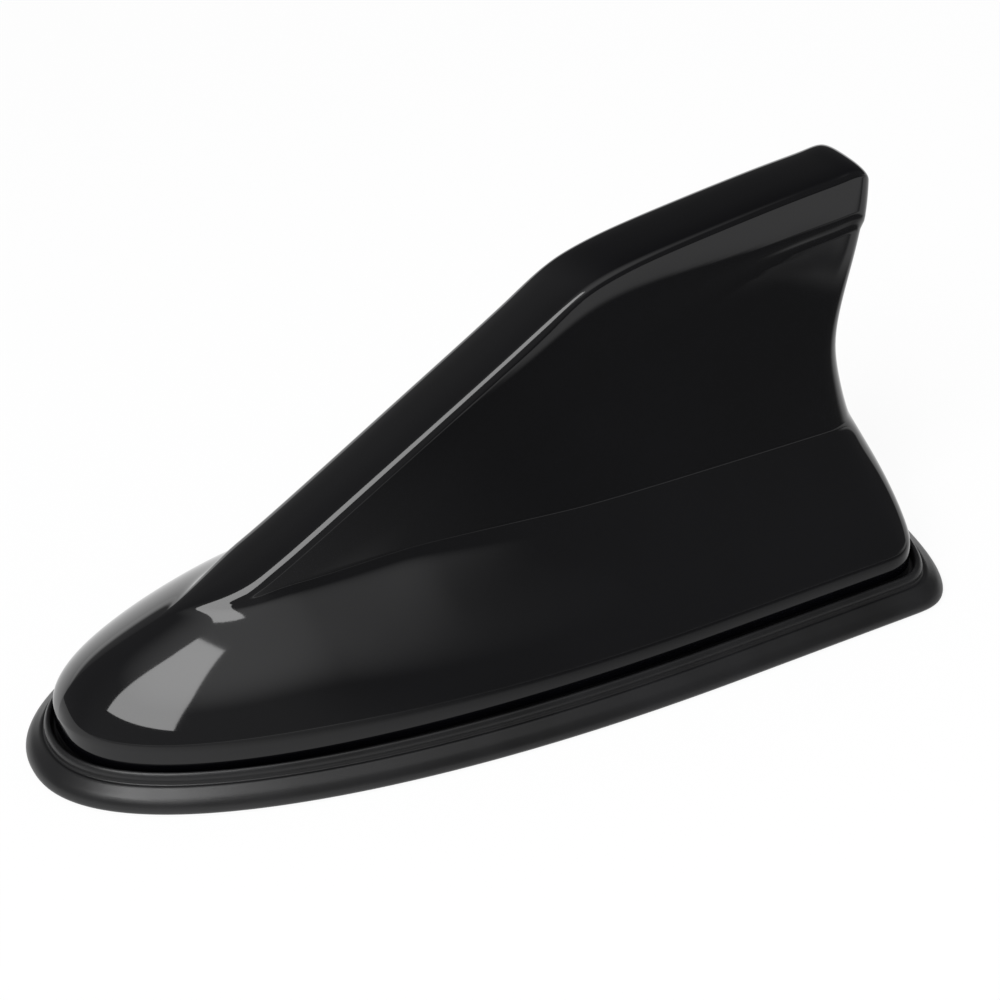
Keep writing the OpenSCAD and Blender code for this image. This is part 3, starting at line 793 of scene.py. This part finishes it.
@dataclass
class FinCover:
    """The gloss cover: its outer and inner skins, the rim between them and the screw bosses.

    Crest_row and foot_row are where the rows from the spine to the rim cross the low body's
    crest and its foot. The crowding values draw stations to the ends and rows to the spine.
    """

    form: CoverForm
    stations: int = 300
    outer_rows: int = 176
    inner_rows: int = 48
    end_crowding: float = 0.7
    spine_crowding: float = 1.8
    crest_row: float = 0.56
    foot_row: float = 0.96
    crest_lower: float = 0.1
    boss_d: float = 6.6
    bore_d: float = 2.6
    boss_z: float = 5.6
    boss_chamfer: float = 0.3
    grip: float = 9.0
    over_grip: float = 6.0
    into_wall: float = 0.4
    boss_sides: int = 32
    bosses: tuple[Pair, ...] = ((25.0, 9.0), (85.0, 19.4), (141.0, 19.0))

    def skin_height(self, down: float, top: float, inset: float) -> float:
        """Finds the height of a row of a skin.

        Args:
            down: place of the row, from 0 at the spine to 1 at the rim.
            top: height of the spine there.
            inset: how far the skin lies inside the outer one.

        Returns:
            The height.
        """
        foot = self.form.foot(inset)
        crest = self.form.crest_at(mix(top, foot, self.crest_lower), inset)
        if down < self.crest_row:
            return top - (top - crest) * (down / self.crest_row) ** self.spine_crowding
        if down < self.foot_row:
            rise = (self.foot_row - down) / (self.foot_row - self.crest_row)
            return foot + (crest - foot) * math.sin(math.pi / 2 * rise)
        return mix(foot, self.form.rim_z, (down - self.foot_row) / (1 - self.foot_row))

    def skin_point(self, u: float, v: float, inset: float) -> Point:
        """Finds a point of a skin.

        Args:
            u: place along the cover, from 0 at the nose to 1 at the tail.
            v: place across it, from 0 at one rim over 0.5 at the spine to 1 at the other rim.
            inset: how far the skin lies inside the outer one.

        Returns:
            The point in millimetres.
        """
        form, foot = self.form, self.form.foot(inset)
        at_end = u <= 0.0 or u >= 1.0
        t = u - self.end_crowding * math.sin(2 * math.pi * u) / (2 * math.pi)
        x, top = form.spine_at(t, inset)
        share = clamp(form.share_at(x, top, inset), u * 1e-4, 1 - (1 - u) * 1e-3)
        if at_end:
            share = round(u)
        top = max(top, foot + 0.02)
        down = abs(2 * v - 1)
        z = self.skin_height(down, top, inset)
        if u <= 0.0:
            z = min(z, foot)
        y = form.half_y(share, max(z, foot), top, inset)
        if z < foot:
            y += form.rim_flare * (foot - z) / (foot - form.rim_z)
        side = 0.0 if at_end or down < 1e-9 else math.copysign(1.0, v - 0.5)
        tail = form.tail_at(max(z, foot), inset)
        return mix(form.nose_x + inset, tail, share), side * y, z

    def add_skin(self, bm: bmesh.types.BMesh, rows: int, inset: float) -> list[bmesh.types.BMEdge]:
        """Adds one skin and returns the edges of its open rim.

        Args:
            bm: mesh that gets the skin.
            rows: rows of faces from rim to rim.
            inset: how far the skin lies inside the outer one.

        Returns:
            The edges along the rim.
        """
        made = bmesh.ops.create_grid(bm, x_segments=self.stations, y_segments=rows,
                                     size=1.0)["verts"]
        rim = {v for v in made if abs(v.co.y) > 1 - 1e-6}
        for vert in made:
            vert.co = Vector(self.skin_point((vert.co.x + 1) / 2, (vert.co.y + 1) / 2, inset)) * MM
        edges = {e for v in rim for e in v.link_edges if e.other_vert(v) in rim}
        return list(edges)

    def add_boss(self, bm: bmesh.types.BMesh, x: float, y: float) -> None:
        """Adds one screw boss, which ends inside the wall above it.

        Args:
            bm: mesh that gets the boss.
            x: place along the cover.
            y: place across it.
        """
        outer, bore, low, chamfer = self.boss_d / 2, self.bore_d / 2, self.boss_z, self.boss_chamfer
        top = low + self.grip + self.over_grip
        profile = [(0, top), (outer, top), (outer, low + chamfer), (outer - chamfer, low),
                   (bore, low), (bore, low + self.grip), (0, low + self.grip)]
        verts = [bm.verts.new((r * MM, 0, z * MM)) for r, z in profile]
        edges = [bm.edges.new(pair) for pair in zip(verts, verts[1:])]
        bmesh.ops.spin(bm, geom=verts + edges, cent=(0, 0, 0), axis=(0, 0, 1), angle=2 * math.pi,
                       steps=self.boss_sides, use_merge=True)
        for vert in bm.verts:
            place = (x + vert.co.x / MM, y + vert.co.y / MM)
            if vert.co.z > (top - 0.01) * MM:
                vert.co.z = (self.form.ceiling(*place) + self.into_wall * self.form.wall) * MM
            vert.co.x, vert.co.y = place[0] * MM, place[1] * MM

    def build(self) -> bpy.types.Object:
        """Builds the cover.

        Returns:
            The piece.
        """
        bm = bmesh.new()
        outer = self.add_skin(bm, self.outer_rows, 0.0)
        inner = self.add_skin(bm, self.inner_rows, self.form.wall)
        bmesh.ops.bridge_loops(bm, edges=outer + inner)
        bmesh.ops.remove_doubles(bm, verts=bm.verts, dist=2e-7)
        bmesh.ops.recalc_face_normals(bm, faces=bm.faces)
        for along, across in self.bosses:
            for side in (-1, 1):
                boss = bmesh.new()
                self.add_boss(boss, self.form.nose_x + along, side * across)
                bmesh.ops.remove_doubles(boss, verts=boss.verts, dist=1e-6)
                bmesh.ops.recalc_face_normals(boss, faces=boss.faces)
                part = bpy.data.meshes.new("boss")
                boss.to_mesh(part)
                boss.free()
                bm.from_mesh(part)
                bpy.data.meshes.remove(part)
        return finish_mesh("fin_cover_moulding", bm, Stuff.COVER, ("fin_cover",))


@dataclass
class RubberSkirt:
    """The moulded skirt: foot, groove, bead and the web that the cover's rim clamps."""

    form: CoverForm
    out: float = 5.5
    bead_z: float = 6.2
    gap: float = 0.7
    web_in: float = 7.0
    foot_in: float = 2.8
    flange_z: float = 2.6
    turns: int = 480
    rounding: float = 0.45
    rounding_share: float = 0.46
    rounding_points: int = 4

    def section(self) -> Section:
        """Works out the skirt's section.

        Returns:
            Its points, as distance out from the cover and height.
        """
        out, gap, bead = self.out, self.gap, self.bead_z
        return self.rounded([
            (-self.foot_in, 0), (out - 0.6, 0), (out - 0.1, 0.45), (out, 1.2), (out - 0.3, 2.1),
            (out - 1, 2.95), (out - 2.1, 3.7), (gap + 2, bead - 2), (gap + 1.5, bead - 2.1),
            (gap + 1.3, bead - 1.7), (gap + 1.35, bead - 0.8), (gap + 0.95, bead - 0.15),
            (gap + 0.55, bead), (gap + 0.15, bead - 0.25), (gap, bead - 0.8),
            (gap, self.form.rim_z), (-self.web_in, self.form.rim_z), (-self.web_in, self.flange_z),
            (-self.foot_in, self.flange_z)])

    def rounded(self, corners: Section) -> Section:
        """Rounds every corner of a closed section.

        Args:
            corners: the section's corners in order.

        Returns:
            The section with its corners rounded.
        """
        made: Section = []
        count = len(corners)
        for k, (x, z) in enumerate(corners):
            ends = []
            for other in (corners[k - 1], corners[(k + 1) % count]):
                size = math.dist((x, z), other)
                share = min(self.rounding, self.rounding_share * size) / size
                ends.append((mix(x, other[0], share), mix(z, other[1], share)))
            for point in range(self.rounding_points):
                s = point / (self.rounding_points - 1)
                a = (mix(ends[0][0], x, s), mix(ends[0][1], z, s))
                b = (mix(x, ends[1][0], s), mix(z, ends[1][1], s))
                made.append((mix(a[0], b[0], s), mix(a[1], b[1], s)))
        return made

    def build(self) -> bpy.types.Object:
        """Builds the skirt.

        Returns:
            The piece.
        """
        section = self.section()
        count = len(section)
        bm = bmesh.new()
        made = bmesh.ops.create_grid(bm, x_segments=self.turns, y_segments=count,
                                     size=1.0)["verts"]
        for vert in made:
            out, z = section[round((vert.co.y + 1) / 2 * count) % count]
            x, y = self.form.rim_point((vert.co.x + 1) / 2, out)
            vert.co = Vector((x, y, z)) * MM
        bmesh.ops.remove_doubles(bm, verts=bm.verts, dist=1e-7)
        bmesh.ops.recalc_face_normals(bm, faces=bm.faces)
        return finish_mesh("rubber_skirt", bm, Stuff.SKIRT, ("base_gasket",))


@dataclass
class KeptSolids:
    """The solids of the frame that keep their shape and get their finish."""

    finishes: dict[str, Stuff]

    def dress(self) -> None:
        """Gives each kept solid its finish in place of the plain one."""
        for node, stuff in self.finishes.items():
            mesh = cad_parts[node].data
            mesh.materials.clear()
            mesh.materials.append(stuff.material())
            log.info("%s: %s", node, stuff.value.name)


class Step(NamedTuple):
    """A smooth step: the values where it starts and ends, and the results before and after."""

    start: float
    end: float
    before: float = 0.0
    after: float = 1.0


@dataclass
class Studio:
    """White floor, floor card, dark tent, one soft box and the camera at the photograph's angle.

    Lengths are in metres, and brightness is a strength where 1 is white.
    """

    azimuth: float = -29.063
    elevation: float = 35.282
    distance: float = 0.400
    target: Point = (0.00445, 0.0, 0.02506)
    lens: float = 83.0
    sensor: float = 36.0
    clip: Pair = (0.01, 50.0)

    floor_size: float = 6.0
    paper: str = "#e9e9ea"
    floor_white: float = 1.04
    floor_lift: float = 0.88
    room_light: float = 0.45

    # Floor card: its edges, then its painted light beside the nose and in a strip along it.
    card_reach: float = 2.95
    card_place: Point = (0.0, -2.96, 0.0008)
    card_behind: Step = Step(0.20, 0.17)
    card_widens: Step = Step(-0.17, -0.22)
    card_near: Step = Step(-0.02, -0.065)
    card_nose: Step = Step(0.03, -0.08, 0.17, 0.6)
    card_strip: Step = Step(-0.20, -0.26, 0.0, 0.8)
    card_strip_end: Step = Step(-0.40, -0.33)

    # Tent: its painted light overhead, at the opening low down at the back, and on the paler nose
    # and front.
    tent_r: float = 4.0
    overhead: Point = (-0.08, -0.25, 0.965)
    overhead_glow: Step = Step(0.86, 0.99, 0.0, 0.9)
    opening: Point = (0.75, 0.66, 0.0)
    opening_side: Step = Step(-0.05, 0.35)
    opening_low: Step = Step(0.16, 0.05, 0.0, 0.9)
    tent_nose: Step = Step(0.2, -0.2, 0.12, 0.28)
    tent_front: Step = Step(0.2, -0.3, 0.0, 0.1)

    key_place: Point = (-0.35, -0.235, 0.91)
    key_aim: Point = (0.0, -0.17, 0.91)
    key_size: Pair = (0.30, 1.26)
    key_radiance: float = 6.8

    def camera(self) -> None:
        """Makes the camera and puts it at its place, upright, with no shift and no blur."""
        a, e = math.radians(self.azimuth), math.radians(self.elevation)
        back = Vector((math.sin(a) * math.cos(e), -math.cos(a) * math.cos(e), math.sin(e)))
        data = bpy.data.cameras.new("camera")
        data.lens, data.sensor_width, data.sensor_fit = self.lens, self.sensor, "AUTO"
        data.clip_start, data.clip_end = self.clip
        data.dof.use_dof = False
        camera = bpy.data.objects.new("camera", data)
        camera.location = Vector(self.target) + self.distance * back
        camera.rotation_euler = back.to_track_quat("Z", "Y").to_euler()
        bpy.context.scene.collection.objects.link(camera)
        bpy.context.scene.camera = camera

    def background_share(self, tree: Tree) -> Socket:
        """Adds a value that is 1 for rays that look at the background, straight or by a reflection.

        Args:
            tree: node tree that gets the nodes.

        Returns:
            The socket with the value.
        """
        path = add_node(tree, "ShaderNodeLightPath")
        seen = add_node(tree, "ShaderNodeMath", {"operation": "ADD", "use_clamp": True},
                        {0: path.outputs["Is Camera Ray"], 1: path.outputs["Is Glossy Ray"]})
        return add_node(tree, "ShaderNodeMath", {"operation": "ADD", "use_clamp": True},
                        {0: seen.outputs[0], 1: path.outputs["Is Transmission Ray"]}).outputs[0]

    def soft_step(self, tree: Tree, value: Socket, step: Step) -> Socket:
        """Adds a smooth step.

        Args:
            tree: node tree that gets the node.
            value: the value that is looked up.
            step: where the step lies and what it gives.

        Returns:
            The socket with the result.
        """
        return add_node(tree, "ShaderNodeMapRange", {
            "interpolation_type": "SMOOTHSTEP", "From Min": step.start, "From Max": step.end,
            "To Min": step.before, "To Max": step.after}, {"Value": value}).outputs[0]

    def square(self, reach: float) -> bmesh.types.BMesh:
        """Makes a flat square mesh.

        Args:
            reach: how far it goes from its middle to each side.

        Returns:
            The mesh in progress.
        """
        bm = bmesh.new()
        bmesh.ops.create_grid(bm, x_segments=1, y_segments=1, size=reach)
        return bm

    def floor(self) -> None:
        """Makes the pale floor, which is lifted to white where it is seen and keeps the shadow."""
        material = bpy.data.materials.new("Paper sweep, matt white")
        tree = empty_tree(material)
        paper = add_node(tree, "ShaderNodeBsdfDiffuse", {"Color": linear(self.paper)})
        white = add_node(tree, "ShaderNodeEmission", {
            "Color": (1, 1, 1, 1), "Strength": self.floor_white})
        share = add_node(tree, "ShaderNodeMath", {"operation": "MULTIPLY", 1: self.floor_lift},
                         {0: self.background_share(tree)})
        both = add_node(tree, "ShaderNodeMixShader", {}, {
            0: share.outputs[0], 1: paper.outputs[0], 2: white.outputs[0]})
        add_node(tree, "ShaderNodeOutputMaterial", links={"Surface": both.outputs[0]})
        floor = add_object("floor", self.square(self.floor_size / 2), material)

    def card(self, name: str, bm: bmesh.types.BMesh, material: bpy.types.Material) -> None:
        """Adds a studio card that only a gloss surface shows, as a card outside the picture is, so
        its colour is painted reflection.

        Args:
            name: the card's name.
            bm: its mesh. It is freed.
            material: its material.
        """
        card = add_object(name, bm, material)
        card.visible_camera = card.visible_diffuse = False
        card.visible_shadow = card.visible_transmission = False

    def floor_card(self) -> None:
        """Lays a dark card in front of the aerial, painted shade that keeps the side of the fin
        dark in its reflection.

        It is paler beside the nose and has a pale strip further out, painted light which the flank
        shows as a reflection.
        """
        bm = self.square(self.card_reach)
        bmesh.ops.translate(bm, vec=self.card_place, verts=bm.verts)
        material = bpy.data.materials.new("Card, painted reflection of floor light and shade")
        tree = empty_tree(material)
        place = add_node(tree, "ShaderNodeTexCoord").outputs["Object"]
        along, across = add_node(tree, "ShaderNodeSeparateXYZ", {}, {0: place}).outputs[0:2]
        # Where the dark card stands, as painted shade in the reflections of the fin's side.
        wide = add_node(tree, "ShaderNodeMath", {"operation": "MAXIMUM"}, {
            0: self.soft_step(tree, along, self.card_behind),
            1: self.soft_step(tree, across, self.card_widens)})
        share = add_node(tree, "ShaderNodeMath", {"operation": "MULTIPLY"}, {
            0: self.soft_step(tree, across, self.card_near), 1: wide.outputs[0]})
        # Painted light: the card's glow beside the nose and in the strip, which only reflections
        # show.
        lit = add_node(tree, "ShaderNodeMath", {"operation": "MULTIPLY_ADD"}, {
            0: self.soft_step(tree, across, self.card_strip),
            1: self.soft_step(tree, across, self.card_strip_end),
            2: self.soft_step(tree, along, self.card_nose)})
        clear = add_node(tree, "ShaderNodeBsdfTransparent")
        face = add_node(tree, "ShaderNodeEmission", {"Color": (1, 1, 1, 1)},
                        {"Strength": lit.outputs[0]})
        both = add_node(tree, "ShaderNodeMixShader", {}, {
            0: share.outputs[0], 1: clear.outputs[0], 2: face.outputs[0]})
        add_node(tree, "ShaderNodeOutputMaterial", links={"Surface": both.outputs[0]})
        self.card("floor_card", bm, material)

    def tent(self) -> None:
        """Hangs a dark dome round the aerial, with painted light overhead and a painted opening low
        down at the back.
        """
        bm = bmesh.new()
        bmesh.ops.create_uvsphere(bm, u_segments=48, v_segments=24, radius=self.tent_r)
        bmesh.ops.bisect_plane(bm, geom=bm.verts[:] + bm.edges[:] + bm.faces[:],
                               plane_co=(0, 0, 0.001), plane_no=(0, 0, 1), clear_inner=True)
        material = bpy.data.materials.new("Tent, painted reflection of the room")
        tree = empty_tree(material)
        place = add_node(tree, "ShaderNodeTexCoord").outputs["Object"]
        way = add_node(tree, "ShaderNodeVectorMath", {"operation": "NORMALIZE"},
                       {0: place}).outputs[0]
        above, back = [add_node(tree, "ShaderNodeVectorMath", {"operation": "DOT_PRODUCT", 1: aim},
                                {0: way}).outputs["Value"] for aim in (self.overhead, self.opening)]
        along, across, up = add_node(tree, "ShaderNodeSeparateXYZ", {}, {0: way}).outputs
        # Painted reflection: the dome's glow, which only gloss surfaces show and which lights
        # nothing.
        opened = add_node(tree, "ShaderNodeMath", {"operation": "MULTIPLY"}, {
            0: self.soft_step(tree, up, self.opening_low),
            1: self.soft_step(tree, back, self.opening_side)})
        sides = add_node(tree, "ShaderNodeMath", {"operation": "ADD"}, {
            0: self.soft_step(tree, along, self.tent_nose),
            1: self.soft_step(tree, across, self.tent_front)})
        low = add_node(tree, "ShaderNodeMath", {"operation": "ADD"}, {
            0: sides.outputs[0], 1: opened.outputs[0]})
        glow = add_node(tree, "ShaderNodeMath", {"operation": "ADD"}, {
            0: self.soft_step(tree, above, self.overhead_glow), 1: low.outputs[0]})
        painted_glow = add_node(tree, "ShaderNodeEmission", {"Color": (1, 1, 1, 1)},
                         {"Strength": glow.outputs[0]})
        add_node(tree, "ShaderNodeOutputMaterial", links={"Surface": painted_glow.outputs[0]})
        self.card("tent", bm, material)

    def world(self) -> None:
        """Makes the even soft light of the room, white where it is seen."""
        world = bpy.data.worlds.new("room")
        tree = empty_tree(world)
        room, seen = [add_node(tree, "ShaderNodeBackground", {
            "Color": (1, 1, 1, 1), "Strength": strength}) for strength in (self.room_light, 1.0)]
        both = add_node(tree, "ShaderNodeMixShader", {}, {
            0: self.background_share(tree), 1: room.outputs[0], 2: seen.outputs[0]})
        add_node(tree, "ShaderNodeOutputWorld", links={"Surface": both.outputs[0]})
        bpy.context.scene.world = world

    def lamp(self) -> None:
        """Sets the lamp: an upright soft box in front of the nose, beside the fin."""
        data = bpy.data.lights.new("key_strip", "AREA")
        data.shape = "RECTANGLE"
        data.size, data.size_y = self.key_size
        data.energy = self.key_radiance * math.pi * self.key_size[0] * self.key_size[1]
        lamp = bpy.data.objects.new("key_strip", data)
        lamp.location = self.key_place
        facing = Vector(self.key_place) - Vector(self.key_aim)
        lamp.rotation_euler = facing.to_track_quat("Z", "Y").to_euler()
        lamp.visible_camera = False
        bpy.context.scene.collection.objects.link(lamp)

    def build(self) -> None:
        """Sets up the whole studio."""
        bpy.context.scene.view_settings.view_transform = "Standard"
        self.floor()
        self.floor_card()
        self.tent()
        self.world()
        self.lamp()
        self.camera()


def main() -> None:
    """Builds the aerial's pieces in order and sets up the studio."""
    logging.basicConfig(level=logging.INFO, format="%(name)s: %(message)s")
    form = CoverForm()
    FinCover(form).build()
    RubberSkirt(form).build()
    KeptSolids({
        "base_plate": Stuff.PLATE, "adhesive_pad": Stuff.FOAM, "cover_screws": Stuff.ZINC,
        "mast_bush": Stuff.THREADED, "bush_seal": Stuff.SEAL, "bush_washer": Stuff.ZINC,
        "ring_terminal": Stuff.BRASS, "bush_nut": Stuff.BRASS, "feeder_wire": Stuff.WIRE,
        "circuit_board": Stuff.BOARD, "board_screws": Stuff.ZINC, "board_terminal": Stuff.TERMINAL,
        "shield_can": Stuff.TIN, "amplifier_chip": Stuff.CHIP,
        "tuning_capacitors": Stuff.ALUMINIUM, "choke_core": Stuff.FERRITE,
        "choke_winding": Stuff.COPPER, "coil_former": Stuff.FORMER, "antenna_coil": Stuff.COPPER,
        "coil_foot": Stuff.BRASS, "coil_cap": Stuff.BRASS, "top_plate": Stuff.TIN,
        "top_plate_screw": Stuff.ZINC}).dress()
    Studio().build()


if __name__ == "__main__":
    main()
